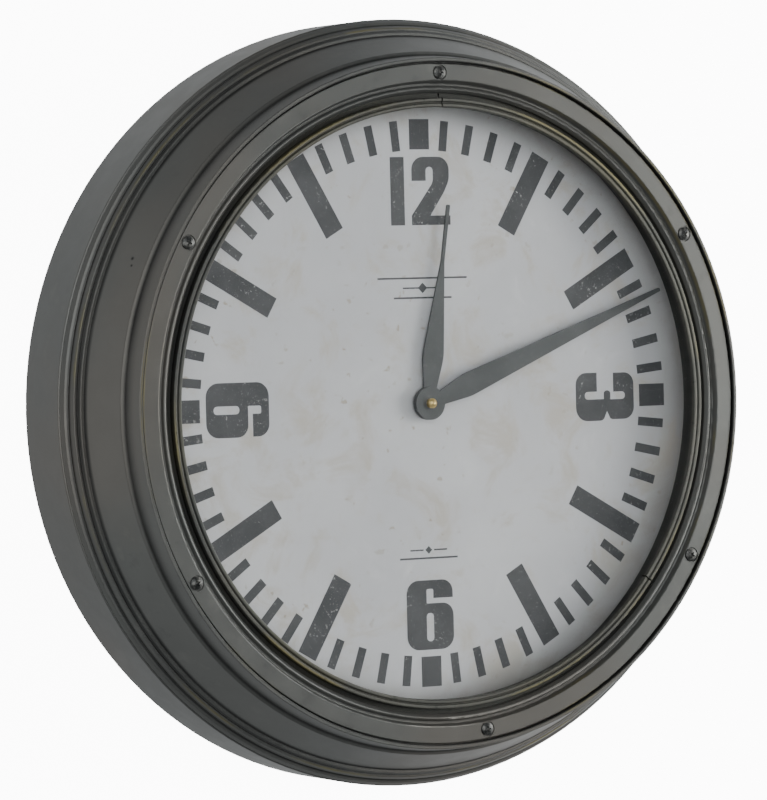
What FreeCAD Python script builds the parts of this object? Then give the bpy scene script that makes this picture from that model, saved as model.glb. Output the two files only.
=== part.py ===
import FreeCAD, Part
import math
import os
import re
import Sketcher

# Wall clock with a spun steel case, hung from a keyhole plate on its back.
# Modelling frame of every piece: x to the right and y up as the clock is read, z out of the wall.
# FACING turns it into the row frame: x right, z up, the room on the -y side, the wall at y = 0.

SIZES = {
    # case, from the wall outwards and from the rim inwards
    "case_radius": 255.0,
    "case_depth": 107.0,
    "steel": 1.2,
    "bead_width": 9.6,
    "band_width": 14.2,
    "cove_width": 4.8,
    "lip_width": 2.7,
    "seat_drop": 4.6,
    "seat_width": 11.3,
    "cove_drop": 15.8,
    "band_length": 29.4,
    "beads_length": 12.6,
    "bead_round": 0.7,
    "bead_height": 0.7,
    "bead_groove": 0.9,
    # bezel and the parts that it holds
    "bezel_thickness": 3.0,
    "bezel_gap": 0.8,
    "bezel_flange": 11.4,
    "bezel_step": 3.8,
    "bezel_bead": 7.9,
    "bezel_round": 0.9,
    "sight_inset": 29.5,
    "glass_thickness": 3.0,
    "glass_lap": 12.8,
    "glass_drop": 9.4,
    "gasket": 1.2,
    "ring_width": 6.0,
    "ring_height": 6.0,
    "ring_foot": 0.8,
    "ring_round": 0.9,
    "ring_groove": 1.4,
    "seam_clock_angle": 0.7,
    "second_seam_clock_angle": 128.5,
    "seam_gap_angle": 0.3,
    "dial_recess": 32.0,
    "surround_wall": 1.2,
    "surround_inset": 9.3,
    # dial and what clamps it
    "board_thickness": 3.0,
    "face_thickness": 0.4,
    "clamp_thickness": 1.5,
    "clamp_width": 14.0,
    "spacer_radius": 4.0,
    "screw_radius": 2.5,
    "screw_head_radius": 4.3,
    "screw_head_height": 2.2,
    "screw_sink_radius": 5.2,
    "screw_sink": 0.8,
    "screw_inset": 7.1,
    "screw_spacing": 60.0,
    "last_screw_lean": 6.5,
    "nut_height": 4.0,
    "nut_flats": 8.0,
    # back
    "back_recess": 3.0,
    "back_thickness": 1.2,
    "access_radius": 75.0,
    "rear_flange": 16.0,
    "rear_leg": 12.0,
    "back_screw_radius": 1.75,
    "back_screws": 8.0,
    "pad_radius": 8.0,
    "hanger_width": 64.0,
    "hanger_height": 46.0,
    "hanger_thickness": 2.0,
    "hanger_inset": 56.0,
    "keyhole_radius": 5.5,
    "keyhole_slot": 5.2,
    "keyhole_rise": 15.0,
    "rivet_radius": 2.0,
    # hands
    "hub_radius": 11.0,
    "hand_thickness": 1.4,
    "hand_gap": 1.3,
    "tip_clearance": 8.5,
    "hour_hand_shorter": 63.0,
    "blade_width": 16.0,
    "blade_neck": 9.4,
    "blade_tip": 2.4,
    "blade_shoulder": 31.0,
    "minute_hand_clock_angle": 68.5,
    "hour_hand_clock_angle": 8.2,
    "hand_nut_radius": 3.2,
    "hand_nut_height": 4.4,
    # movement
    "movement_width": 56.0,
    "movement_thickness": 17.0,
    "movement_wall": 1.5,
    "bush_radius": 4.0,
    "bush_flats": 11.0,
    "bush_nut_height": 1.8,
    "washer_thickness": 0.5,
    "rubber_thickness": 0.8,
    "running_gap": 0.05,
    "minute_arbor_radius": 1.8,
    "hour_tube_wall": 0.85,
    "pivot_radius": 0.4,
    "motion_module": 0.5,
    "motion_distance": 12.0,
    "train_module": 0.3,
    "second_module": 0.28,
    "rotor_module": 0.25,
    "plate_thickness": 0.8,
    "stator_thickness": 0.8,
    "magnet_radius": 3.0,
    "knob_radius": 6.5,
    "knob_length": 3.6,
    "cell_radius": 7.25,
    "cell_length": 49.5,
    # plate, motor and circuit inside the movement
    "middle_plate_left": -14.5,
    "middle_plate_low": -10.1,
    "middle_plate_width": 34.1,
    "middle_plate_height": 26.1,
    "strip_width": 8.8,
    "strip_low": -10.0,
    "strip_length": 30.0,
    "core_left": 21.2,
    "core_width": 4.0,
    "bobbin_wall": 0.4,
    "bobbin_flange": 0.8,
    "bobbin_low": -5.5,
    "bobbin_length": 20.3,
    "winding_depth": 1.4,
    "circuit_left": -26.0,
    "circuit_low": 16.0,
    "circuit_width": 18.0,
    "circuit_height": 10.0,
    "circuit_thickness": 0.8,
    "chip_side": 5.0,
    "chip_thickness": 1.0,
    "crystal_radius": 1.0,
    "crystal_length": 6.0,
}

# Teeth of each gear; the wheels take their ratios from these alone.
CANNON_TEETH = 12
MINUTE_WHEEL_TEETH = 36
MINUTE_PINION_TEETH = 12
HOUR_WHEEL_TEETH = 48
CENTRE_WHEEL_TEETH = 64
THIRD_PINION_TEETH = 8
THIRD_WHEEL_TEETH = 60
SECOND_PINION_TEETH = 8
SECOND_WHEEL_TEETH = 50
INTERMEDIATE_PINION_TEETH = 10
INTERMEDIATE_WHEEL_TEETH = 48
ROTOR_PINION_TEETH = 8

# Direction from the intermediate wheel to the rotor, and the posts moulded in the rear half.
ROTOR_DIRECTION = math.radians(-10)
PLATE_POSTS = ((-12.5, 13.5), (6.5, 14.0), (3.0, -9.0))
STATOR_POSTS = ((14.0, 17.5), (16.5, -8.0))
BOARD_POSTS = ((-24.0, 18.0), (-10.5, 24.5))

# Radii, as expressions over the sheet's names, from the case rim inwards.
BAND_BACK = "case_radius - bead_width"
BAND_FRONT = BAND_BACK + " - band_width"
LIP = BAND_FRONT + " - cove_width"
SEAT = LIP + " - lip_width"
SCREW_CIRCLE = SEAT + " - screw_inset"
SIGHT = SEAT + " - sight_inset"
RING_OUTER = SIGHT + " + ring_width"
GLASS = SIGHT + " + glass_lap"
STACK = GLASS + " + gasket"
SURROUND = SIGHT + " + surround_inset"
MINUTE_REACH = SURROUND + " - tip_clearance"
HOUR_REACH = MINUTE_REACH + " - hour_hand_shorter"

# Depths, measured from the wall, as expressions.
SEAT_FRONT = "case_depth - seat_drop"
COVE = "case_depth - cove_drop"
BAND_END = COVE + " - 1.6"
BAND_START = BAND_END + " - band_length"
SIDE_END = BAND_START + " - beads_length"
GLASS_FRONT = "case_depth - glass_drop"
GLASS_BACK = GLASS_FRONT + " - glass_thickness"
DIAL = "case_depth - dial_recess"
BOARD_FRONT = DIAL + " - face_thickness"
BOARD_BACK = BOARD_FRONT + " - board_thickness"
CLAMP_BACK = BOARD_BACK + " - clamp_thickness"
MOVEMENT_FRONT = BOARD_BACK + " - rubber_thickness"
MOVEMENT_BACK = MOVEMENT_FRONT + " - movement_thickness"
BUSH_NUT_BACK = DIAL + " + washer_thickness"
BUSH_END = BUSH_NUT_BACK + " + bush_nut_height + 0.3"
HOUR_HAND_BACK = BUSH_END + " + 0.6"
MINUTE_HAND_BACK = HOUR_HAND_BACK + " + hand_thickness + hand_gap"
MINUTE_HAND_FRONT = MINUTE_HAND_BACK + " + hand_thickness"
BACK_FRONT = "back_recess + back_thickness"
HANGER = "(case_radius - hanger_inset)"
MIDDLE_PLATE = MOVEMENT_BACK + " + 7.6"
STATOR = MIDDLE_PLATE + " - 2.0"
BOARD = MOVEMENT_BACK + " + 4.2"
KNOB_BACK = MOVEMENT_BACK + " - 0.6 - knob_length"
HOUR_TUBE = "minute_arbor_radius + running_gap + hour_tube_wall"

WORD = re.compile(r"\b(?!(?:sin|cos|abs)\b)[a-z][a-z_]+")
FACING = FreeCAD.Placement(FreeCAD.Vector(0, 0, 0), FreeCAD.Rotation(FreeCAD.Vector(1, 0, 0), 90))
OUT = FreeCAD.Vector(0, 0, 1)

doc = FreeCAD.newDocument("wall_clock")
nodes = []


def make_sheet():
    """Spreadsheet with one named cell for each driving size."""
    sheet = doc.addObject("Spreadsheet::Sheet", "Sizes")
    for row, (name, number) in enumerate(SIZES.items(), start=1):
        sheet.set(f"A{row}", name)
        sheet.set(f"B{row}", str(number))
        sheet.setAlias(f"B{row}", name)
    doc.recompute()
    return sheet


sheet = make_sheet()


def bound(text):
    """The expression as another object of the document has to write it."""
    return WORD.sub(lambda word: "Sizes." + word.group(), str(text))


def number(text):
    """What an expression over the sheet's names comes to."""
    return float(sheet.evalExpression(str(text)))


def bind(target, path, text):
    target.setExpression(path, bound(text))


def keep(target, label):
    """Take an object as one finished piece of the clock."""
    target.Label = label
    nodes.append(target)
    return target


def turned_placement(clock_angle):
    """FACING after a clockwise turn about the clock's axis, in degrees."""
    return FACING.multiply(FreeCAD.Placement(FreeCAD.Vector(), FreeCAD.Rotation(OUT, -clock_angle)))


# ---------------------------------------------------------------- sketches and bodies


def new_body(label):
    body = doc.addObject("PartDesign::Body", label)
    body.Placement = FACING
    return keep(body, label)


def new_sketch(body, role, name, offset="0"):
    """Sketch on one of the body's own origin planes, moved along its normal."""
    sketch = body.newObject("Sketcher::SketchObject", name)
    plane = [item for item in body.Origin.OriginFeatures if item.Role == role][0]
    sketch.AttachmentSupport = [(plane, "")]
    sketch.MapMode = "FlatFace"
    if offset != "0":
        bind(sketch, "AttachmentOffset.Base.z", offset)
    return sketch


def hold(sketch, geometry, point, text, direction, axis):
    """Hold a sketch point at a signed distance from the origin, or on the axis when that is 0."""
    if text == "0":
        sketch.addConstraint(Sketcher.Constraint("PointOnObject", geometry, point, axis))
        return
    if text.startswith("-"):
        ends = (geometry, point, -1, 1)
        text = text[1:]
    else:
        ends = (-1, 1, geometry, point)
    index = sketch.addConstraint(Sketcher.Constraint(direction, *ends, number(text)))
    bind(sketch, f"Constraints[{index}]", text)


def draw_outline(sketch, corners):
    """Closed outline through corners (across, up, rounding), with a tangent arc at each rounded one."""
    points = []
    for across, up, _ in corners:
        points.append(FreeCAD.Vector(signed(across), signed(up), 0))
    count = len(corners)
    leaving, arriving, arcs = [], [], []
    for i, (_, _, rounding) in enumerate(corners):
        into = (points[i] - points[i - 1]).normalize()
        onward = (points[(i + 1) % count] - points[i]).normalize()
        radius = number(rounding)
        if radius == 0:
            leaving.append(points[i])
            arriving.append(points[i])
            arcs.append(None)
            continue
        bend = into.getAngle(onward)
        trim = radius * math.tan(bend / 2)
        arriving.append(points[i] - into * trim)
        leaving.append(points[i] + onward * trim)
        left = into.x * onward.y - into.y * onward.x > 0
        side = FreeCAD.Vector(-into.y, into.x, 0) * (1 if left else -1)
        arcs.append((arriving[i] + side * radius, radius, left, rounding))
    lines = []
    for i in range(count):
        lines.append(sketch.addGeometry(Part.LineSegment(leaving[i], arriving[(i + 1) % count])))
    for i, (across, up, _) in enumerate(corners):
        before, after = lines[i - 1], lines[i]
        if arcs[i] is None:
            sketch.addConstraint(Sketcher.Constraint("Coincident", before, 2, after, 1))
            hold(sketch, after, 1, across, "DistanceX", -2)
            hold(sketch, after, 1, up, "DistanceY", -1)
            continue
        centre, radius, left, rounding = arcs[i]
        ends = [arriving[i], leaving[i]] if left else [leaving[i], arriving[i]]
        angles = [math.atan2(end.y - centre.y, end.x - centre.x) for end in ends]
        circle = Part.Circle(centre, OUT, radius)
        arc = sketch.addGeometry(Part.ArcOfCircle(circle, angles[0], angles[1]))
        corner = sketch.addGeometry(Part.Point(points[i]), True)
        sketch.addConstraint(Sketcher.Constraint("Tangent", before, 2, arc, 1 if left else 2))
        sketch.addConstraint(Sketcher.Constraint("Tangent", after, 1, arc, 2 if left else 1))
        index = sketch.addConstraint(Sketcher.Constraint("Radius", arc, radius))
        bind(sketch, f"Constraints[{index}]", rounding)
        sketch.addConstraint(Sketcher.Constraint("PointOnObject", corner, 1, before))
        sketch.addConstraint(Sketcher.Constraint("PointOnObject", corner, 1, after))
        hold(sketch, corner, 1, across, "DistanceX", -2)
        hold(sketch, corner, 1, up, "DistanceY", -1)


def signed(text):
    """An outline coordinate's value: a leading minus applies to the whole expression."""
    if text.startswith("-"):
        return -number(text[1:])
    return number(text)


def draw_circle(sketch, radius, across="0", up="0"):
    circle = Part.Circle(FreeCAD.Vector(signed(across), signed(up), 0), OUT, number(radius))
    geometry = sketch.addGeometry(circle)
    index = sketch.addConstraint(Sketcher.Constraint("Radius", geometry, number(radius)))
    bind(sketch, f"Constraints[{index}]", radius)
    hold(sketch, geometry, 3, across, "DistanceX", -2)
    hold(sketch, geometry, 3, up, "DistanceY", -1)


def turn(label, corners, angle="360"):
    """Piece of revolution about the clock's axis from a section of (radius, depth, rounding)."""
    body = new_body(label)
    sketch = new_sketch(body, "XZ_Plane", label + "_section")
    draw_outline(sketch, corners)
    revolution = body.newObject("PartDesign::Revolution", label + "_turned")
    revolution.Profile = sketch
    revolution.ReferenceAxis = (sketch, ["V_Axis"])
    bind(revolution, "Angle", angle)
    sketch.Visibility = False
    return body


def pad(body, name, draw, depth, thickness):
    """Add a plate, drawn in the plane of the dial, from one depth towards the room."""
    sketch = new_sketch(body, "XY_Plane", name + "_outline", depth)
    draw(sketch)
    plate = body.newObject("PartDesign::Pad", name)
    plate.Profile = sketch
    bind(plate, "Length", thickness)
    return plate


def pocket(body, name, draw, depth):
    """Cut right through the body, both ways from one depth."""
    sketch = new_sketch(body, "XY_Plane", name + "_outline", depth)
    draw(sketch)
    opening = body.newObject("PartDesign::Pocket", name)
    opening.Profile = sketch
    opening.Type = "ThroughAll"
    opening.Midplane = True
    return opening


# ---------------------------------------------------------------- primitives


def put(primitive, across, up, depth):
    """Stand a primitive on a point of the modelling frame, its own z out of the wall."""
    primitive.Placement = FACING
    bind(primitive, "Placement.Base.x", across)
    bind(primitive, "Placement.Base.y", f"-({depth})")
    bind(primitive, "Placement.Base.z", up)
    return primitive


def disc(name, radius, depth, thickness, across="0", up="0"):
    item = doc.addObject("Part::Cylinder", name)
    bind(item, "Radius", radius)
    bind(item, "Height", thickness)
    return put(item, across, up, depth)


def block(name, across, up, depth, width, height, thickness):
    """Box from its lowest corner."""
    item = doc.addObject("Part::Box", name)
    bind(item, "Length", width)
    bind(item, "Width", height)
    bind(item, "Height", thickness)
    return put(item, across, up, depth)


def prism(name, flats, depth, thickness):
    item = doc.addObject("Part::Prism", name)
    item.Polygon = 6
    bind(item, "Circumradius", f"({flats}) / 2 / cos(30)")
    bind(item, "Height", thickness)
    return put(item, "0", "0", depth)


def fuse(name, items):
    item = doc.addObject("Part::MultiFuse", name)
    item.Shapes = items
    return item


def cut(name, base, tools):
    item = doc.addObject("Part::Cut", name)
    item.Base = base
    item.Tool = tools[0] if len(tools) == 1 else fuse(name + "_tools", tools)
    return item


def feature(label, shape):
    """Piece whose shape comes from Part's own functions, in the modelling frame."""
    item = doc.addObject("Part::Feature", label)
    item.Shape = shape
    item.Placement = FACING.multiply(shape.Placement)
    return keep(item, label)


def cylinder(radius, low, high, x=0.0, y=0.0):
    return Part.makeCylinder(radius, high - low, FreeCAD.Vector(x, y, low), OUT)


# ---------------------------------------------------------------- case and bezel


def make_case():
    """Spun drum: plain side, three fine beads, a sloping band, a cove and the lip round the bezel."""
    outside = [
        ("case_radius", "0", "0"),
        ("case_radius", SIDE_END, "bead_round"),
        *beads(),
        (BAND_FRONT, BAND_END, "bead_round * 1.5"),
        (BAND_FRONT + " - 2.8", COVE, "bead_round"),
        (LIP, "case_depth", "bead_round"),
    ]
    inside = [
        (SEAT, "case_depth", "bead_round"),
        (SEAT, SEAT_FRONT, "0"),
        (SEAT + " - seat_width", SEAT_FRONT, "0"),
        (SEAT + " - seat_width", SEAT_FRONT + " - steel", "0"),
        (LIP + " - steel", SEAT_FRONT + " - steel", "0"),
        (BAND_FRONT + " - 2.8 - steel", COVE + " - steel", "0"),
        (BAND_FRONT + " - steel", BAND_END + " - steel", "0"),
        (BAND_BACK + " - bead_groove - steel", BAND_START + " - steel", "0"),
        ("case_radius - steel", SIDE_END + " - bead_groove - steel", "0"),
        ("case_radius - steel", "0", "0"),
    ]
    body = turn("case_shell", outside + inside)
    for i, angle in enumerate(screw_clock_angles()):
        drill(body, f"case_hole_{i + 1}", "screw_radius + 0.2", angle, SEAT_FRONT + " - 3")
    return body


def beads():
    """Corners of the beads and the grooves beside them, along the slope from the side to the band."""
    shares = [(0.08, 0.14, 0.31), (0.46, 0.58, 0.76), (0.84, 0.93, 1.07)]
    corners = []
    for groove, rise, fall in shares:
        corners.append(slope_corner(groove, "-bead_groove", "bead_round * 0.4"))
        corners.append(slope_corner(rise, "bead_height", "bead_round * 1.2"))
        corners.append(slope_corner(fall, "bead_height", "bead_round * 1.2"))
    corners.append(slope_corner(1.14, "-bead_groove", "bead_round * 0.4"))
    return corners


def slope_corner(share, height, corner_round):
    """Corner at a share of the way along the beaded slope, raised square to it."""
    radius = f"case_radius - bead_width * {share} + ({height}) * 0.8"
    depth = f"{SIDE_END} + beads_length * {share} + ({height}) * 0.6"
    return radius, depth, corner_round


def screw_clock_angles():
    """Clock angles of the bezel screws, as expressions; the lowest one leans off the even spacing."""
    angles = [f"screw_spacing * {i}" for i in range(6)]
    angles[3] += " - last_screw_lean"
    return angles


def drill(body, name, radius, clock_angle, depth):
    """Hole on the screw circle, from one depth out to the room."""
    circle = f"({SCREW_CIRCLE})"
    sketch = new_sketch(body, "XY_Plane", name + "_outline", depth)
    place = f"{circle} * sin({clock_angle})", f"{circle} * cos({clock_angle})"
    centre = FreeCAD.Vector(number(place[0]), number(place[1]), 0)
    sketch.addGeometry(Part.Circle(centre, OUT, number(radius)))
    index = sketch.addConstraint(Sketcher.Constraint("Radius", 0, number(radius)))
    bind(sketch, f"Constraints[{index}]", radius)
    for direction, text, value in (("DistanceX", place[0], centre.x), ("DistanceY", place[1], centre.y)):
        if abs(value) < 1e-6:
            axis = -2 if direction == "DistanceX" else -1
            sketch.addConstraint(Sketcher.Constraint("PointOnObject", 0, 3, axis))
            continue
        ends = (0, 3, -1, 1) if value < 0 else (-1, 1, 0, 3)
        index = sketch.addConstraint(Sketcher.Constraint(direction, *ends, abs(value)))
        bind(sketch, f"Constraints[{index}]", f"abs({text})")
    hole = body.newObject("PartDesign::Pocket", name)
    hole.Profile = sketch
    hole.Type = "ThroughAll"
    hole.Reversed = True
    return hole


def make_bezel():
    """Cast ring: flat screwed flange, a step down and one round bead towards the glass."""
    flange = SEAT + " - bezel_gap"
    step = flange + " - bezel_flange"
    top = SEAT_FRONT + " + bezel_thickness"
    body = turn("bezel_ring", [
        (flange, SEAT_FRONT, "0"),
        (flange, top, "bezel_round"),
        (step, top, "bezel_round"),
        (step + " - 1.7", top + " - bezel_step", "bezel_round"),
        (step + " - 3.2", top + " - bezel_step + 0.2", "0"),
        (step + " - 5.0", top + " - bezel_step + 2.6", "bezel_round * 1.4"),
        (step + " - bezel_bead", top + " - bezel_step - 0.6", "bezel_round"),
        (step + " - bezel_bead", GLASS_FRONT + " + ring_foot + 0.1", "0"),
        (step + " - 0.6", GLASS_FRONT + " + ring_foot + 0.1", "0"),
        (step + " - 0.2", SEAT_FRONT, "0"),
    ])
    for i, angle in enumerate(screw_clock_angles()):
        drill(body, f"bezel_hole_{i + 1}", "screw_radius + 0.2", angle, SEAT_FRONT + " - 3")
        drill(body, f"bezel_sink_{i + 1}", "screw_sink_radius", angle, top + " - screw_sink")
    return body


def make_glazing():
    """Pane, the rubber channel round its edge, and the split trim ring in front of it."""
    keep(disc("glass", GLASS, GLASS_BACK, "glass_thickness"), "glass")
    turn("glass_gasket", [
        (SURROUND + " - 0.6", GLASS_BACK + " - gasket", "0"),
        (STACK, GLASS_BACK + " - gasket", "0"),
        (STACK, GLASS_FRONT, "0"),
        (GLASS, GLASS_FRONT, "0"),
        (GLASS, GLASS_BACK, "0"),
        (SURROUND + " - 0.6", GLASS_BACK, "0"),
    ])
    section = [
        (SIGHT, GLASS_FRONT, "0"),
        (RING_OUTER + " + 6", GLASS_FRONT, "0"),
        (RING_OUTER + " + 6", GLASS_FRONT + " + ring_foot", "0"),
        (RING_OUTER, GLASS_FRONT + " + ring_foot", "0"),
        (RING_OUTER, GLASS_FRONT + " + ring_height", "ring_round"),
        (SIGHT + " + ring_width * 0.64", GLASS_FRONT + " + ring_height", "ring_round * 0.8"),
        (SIGHT + " + ring_width * 0.50", GLASS_FRONT + " + ring_height - ring_groove", "ring_round * 0.3"),
        (SIGHT + " + ring_width * 0.36", GLASS_FRONT + " + ring_height", "ring_round * 0.8"),
        (SIGHT, GLASS_FRONT + " + ring_height", "ring_round"),
    ]
    sweep = "(second_seam_clock_angle - seam_clock_angle)"
    short = turn("trim_ring_short", section, sweep + " - seam_gap_angle")
    long = turn("trim_ring_long", section, f"360 - {sweep} - seam_gap_angle")
    short.Placement = turned_placement(number("second_seam_clock_angle - 90 - seam_gap_angle / 2"))
    long.Placement = turned_placement(number("seam_clock_angle - 90 - seam_gap_angle / 2"))


def make_dial():
    """Channel ring round the dial, the board, and the printed sheet on it."""
    surround_front = GLASS_BACK + " - gasket"
    turn("dial_surround", [
        (SURROUND, DIAL, "0"),
        (STACK, DIAL, "0"),
        (STACK, DIAL + " + surround_wall", "0"),
        (SURROUND + " + surround_wall", DIAL + " + surround_wall", "0"),
        (SURROUND + " + surround_wall", surround_front + " - surround_wall", "0"),
        (STACK, surround_front + " - surround_wall", "0"),
        (STACK, surround_front, "0"),
        (SURROUND, surround_front, "0"),
    ])
    for label, depth, thickness in (
        ("dial_board", BOARD_BACK, "board_thickness"),
        ("dial_face", BOARD_FRONT, "face_thickness"),
    ):
        plate = disc(label + "_disc", STACK, depth, thickness)
        hole = disc(label + "_hole", "bush_radius + 0.2", depth + " - 1", thickness + " + 2")
        keep(cut(label, plate, [hole]), label)


def screw_shape(radius, length, head_radius, head_height, cross):
    """Pan-head screw, its head's underside at z = 0 and its shank below."""
    crown = Part.makeCylinder(head_radius, head_height * 0.45)
    dome_radius = (head_radius ** 2 + (head_height * 0.55) ** 2) / (2 * head_height * 0.55)
    ball = Part.makeSphere(dome_radius, FreeCAD.Vector(0, 0, head_height - dome_radius))
    head = crown.fuse(ball.common(Part.makeCylinder(head_radius, head_height)))
    corner = FreeCAD.Vector(-cross / 2, -cross * 2, head_height / 2)
    slot = Part.makeBox(cross, cross * 4, head_height, corner)
    other = slot.copy()
    other.rotate(FreeCAD.Vector(), OUT, 90)
    head = head.cut(slot.fuse(other))
    return head.fuse(Part.makeCylinder(radius, length, FreeCAD.Vector(0, 0, -length)))


def around(shape, radius, clock_angles, depth):
    """Copies of a shape, each turned to its clock angle, as one compound."""
    copies = []
    for angle in clock_angles:
        copy = shape.copy()
        copy.translate(FreeCAD.Vector(0, radius, depth))
        copy.rotate(FreeCAD.Vector(), OUT, -angle)
        copies.append(copy)
    return Part.makeCompound(copies)


def make_clamps():
    """Six long bezel screws, each with a spacer, a clamp behind the dial board and a nut."""
    circle = number(SCREW_CIRCLE)
    angles = [number(angle) for angle in screw_clock_angles()]
    shank = number("screw_radius")
    head_seat = number(SEAT_FRONT + " + bezel_thickness - screw_sink")
    seat_back = number(SEAT_FRONT + " - steel")
    clamp_back = number(CLAMP_BACK)
    board_back = number(BOARD_BACK)
    nut_height = number("nut_height")
    length = head_seat - clamp_back + nut_height + 1.5
    screw = screw_shape(shank, length, number("screw_head_radius"), number("screw_head_height"), 1.1)
    feature("bezel_screws", around(screw, circle, angles, head_seat))
    clearance = shank + 0.2
    tube = cylinder(number("spacer_radius"), board_back, seat_back)
    tube = tube.cut(cylinder(clearance, board_back, seat_back))
    feature("clamp_spacers", around(tube, circle, angles, 0))
    width = number("clamp_width")
    inner = number(STACK) - 8
    outer = circle + number("spacer_radius") + 1
    corner = FreeCAD.Vector(-width / 2, inner - circle, clamp_back)
    strip = Part.makeBox(width, outer - inner, board_back - clamp_back, corner)
    strip = strip.cut(cylinder(clearance, clamp_back - 1, board_back + 1))
    feature("dial_clamps", around(strip, circle, angles, 0))
    reach = number("nut_flats / 2 / cos(30)")
    points = []
    for i in range(7):
        angle = i * math.pi / 3
        points.append(FreeCAD.Vector(reach * math.cos(angle), reach * math.sin(angle), 0))
    nut = Part.Face(Part.makePolygon(points)).extrude(OUT * nut_height)
    nut.translate(OUT * (clamp_back - nut_height))
    nut = nut.cut(cylinder(shank, clamp_back - nut_height - 1, clamp_back + 1))
    feature("clamp_nuts", around(nut, circle, angles, 0))


# ---------------------------------------------------------------- back and hanger


def ring_of_holes(body, name, radius, circle, depth):
    """Through holes for the back screws, evenly spaced and half a step off the vertical."""
    half_step = "(180 / back_screws)"

    def one(sketch):
        draw_circle(sketch, radius, f"({circle}) * sin({half_step})", f"({circle}) * cos({half_step})")

    hole = pocket(body, name, one, depth)
    pattern = body.newObject("PartDesign::PolarPattern", name + "s")
    pattern.Originals = [hole]
    pattern.Axis = (hole.Profile[0], ["N_Axis"])
    pattern.Angle = 360
    bind(pattern, "Occurrences", "back_screws")
    body.Tip = pattern


def hanger_circles(radius):
    """Drawing of the four rivets' circles."""
    across = "(hanger_width / 2 - 6)"
    rise = "hanger_height / 2 - 7"

    def draw(sketch):
        for side in ("", "-"):
            for sign in ("+", "-"):
                draw_circle(sketch, radius, side + across, f"{HANGER} {sign} ({rise})")

    return draw


def make_back():
    """Angle ring inside the rim, the back plate with its access opening, screws and wall pads."""
    rim = "case_radius - steel"
    circle = rim + " - rear_flange / 2 - 1"
    angle_ring = turn("rear_ring", [
        (rim + " - rear_flange", BACK_FRONT, "0"),
        (rim, BACK_FRONT, "0"),
        (rim, BACK_FRONT + " + rear_leg", "0"),
        (rim + " - steel", BACK_FRONT + " + rear_leg", "0"),
        (rim + " - steel", BACK_FRONT + " + steel", "0"),
        (rim + " - rear_flange", BACK_FRONT + " + steel", "0"),
    ])
    ring_of_holes(angle_ring, "rear_ring_hole", "back_screw_radius", circle, BACK_FRONT)
    plate = new_body("back_plate")

    def blank(sketch):
        draw_circle(sketch, rim + " - 0.3")

    def access(sketch):
        draw_circle(sketch, "access_radius")

    def window(sketch):
        side = "(hanger_width / 2 - 14)"
        low, high = f"{HANGER} - hanger_height / 2 + 5", f"{HANGER} + hanger_height / 2 - 5"
        corners = [("-" + side, low), (side, low), (side, high), ("-" + side, high)]
        draw_outline(sketch, [(across, up, "3") for across, up in corners])

    pad(plate, "back_blank", blank, "back_recess", "back_thickness")
    pocket(plate, "back_access", access, "back_recess")
    pocket(plate, "back_window", window, "back_recess")
    pocket(plate, "back_rivet_holes", hanger_circles("rivet_radius"), "back_recess")
    ring_of_holes(plate, "back_plate_hole", "back_screw_radius", circle, "back_recess")
    screw = screw_shape(number("back_screw_radius"), 6.0, 3.2, 2.0, 0.8)
    screw.rotate(FreeCAD.Vector(), FreeCAD.Vector(1, 0, 0), 180)
    count = int(number("back_screws"))
    spread = [360.0 / count * (i + 0.5) for i in range(count)]
    feature("back_screws", around(screw, number(circle), spread, number("back_recess")))
    pads = Part.makeCylinder(number("pad_radius"), number("back_recess"))
    feature("wall_pads", around(pads, number(circle) - 22, [45, 135, 225, 315], 0))


def make_hanger():
    """Plate with a keyhole, riveted inside the back plate behind a window in it."""
    body = new_body("hanger_plate")
    entry = f"{HANGER} - 8"

    def blank(sketch):
        side = "(hanger_width / 2)"
        low, high = f"{HANGER} - hanger_height / 2", f"{HANGER} + hanger_height / 2"
        corners = [("-" + side, low), (side, low), (side, high), ("-" + side, high)]
        draw_outline(sketch, [(across, up, "4") for across, up in corners])

    def keyhole(sketch):
        draw_circle(sketch, "keyhole_radius", "0", entry)

    def slot(sketch):
        side = "(keyhole_slot / 2)"
        top = entry + " + keyhole_rise"
        corners = [("-" + side, entry, "0"), (side, entry, "0")]
        corners += [(side, top, "keyhole_slot / 2.01"), ("-" + side, top, "keyhole_slot / 2.01")]
        draw_outline(sketch, corners)

    pad(body, "hanger_blank", blank, BACK_FRONT, "hanger_thickness")
    pocket(body, "hanger_entry", keyhole, BACK_FRONT)
    pocket(body, "hanger_slot", slot, BACK_FRONT)
    pocket(body, "hanger_rivet_holes", hanger_circles("rivet_radius"), BACK_FRONT)
    radius = number("rivet_radius")
    rear = number("back_recess")
    front = rear + number("back_thickness + hanger_thickness")
    centre = number(HANGER)
    across = number("hanger_width / 2 - 6")
    rise = number("hanger_height / 2 - 7")
    rivets = []
    for x in (-across, across):
        for y in (centre - rise, centre + rise):
            shank = cylinder(radius, rear, front, x, y)
            heads = [cylinder(radius * 1.8, rear - 0.9, rear, x, y)]
            heads.append(cylinder(radius * 1.8, front, front + 0.9, x, y))
            rivets.append(shank.multiFuse(heads).removeSplitter())
    feature("hanger_rivets", Part.makeCompound(rivets))


# ---------------------------------------------------------------- hands


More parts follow.
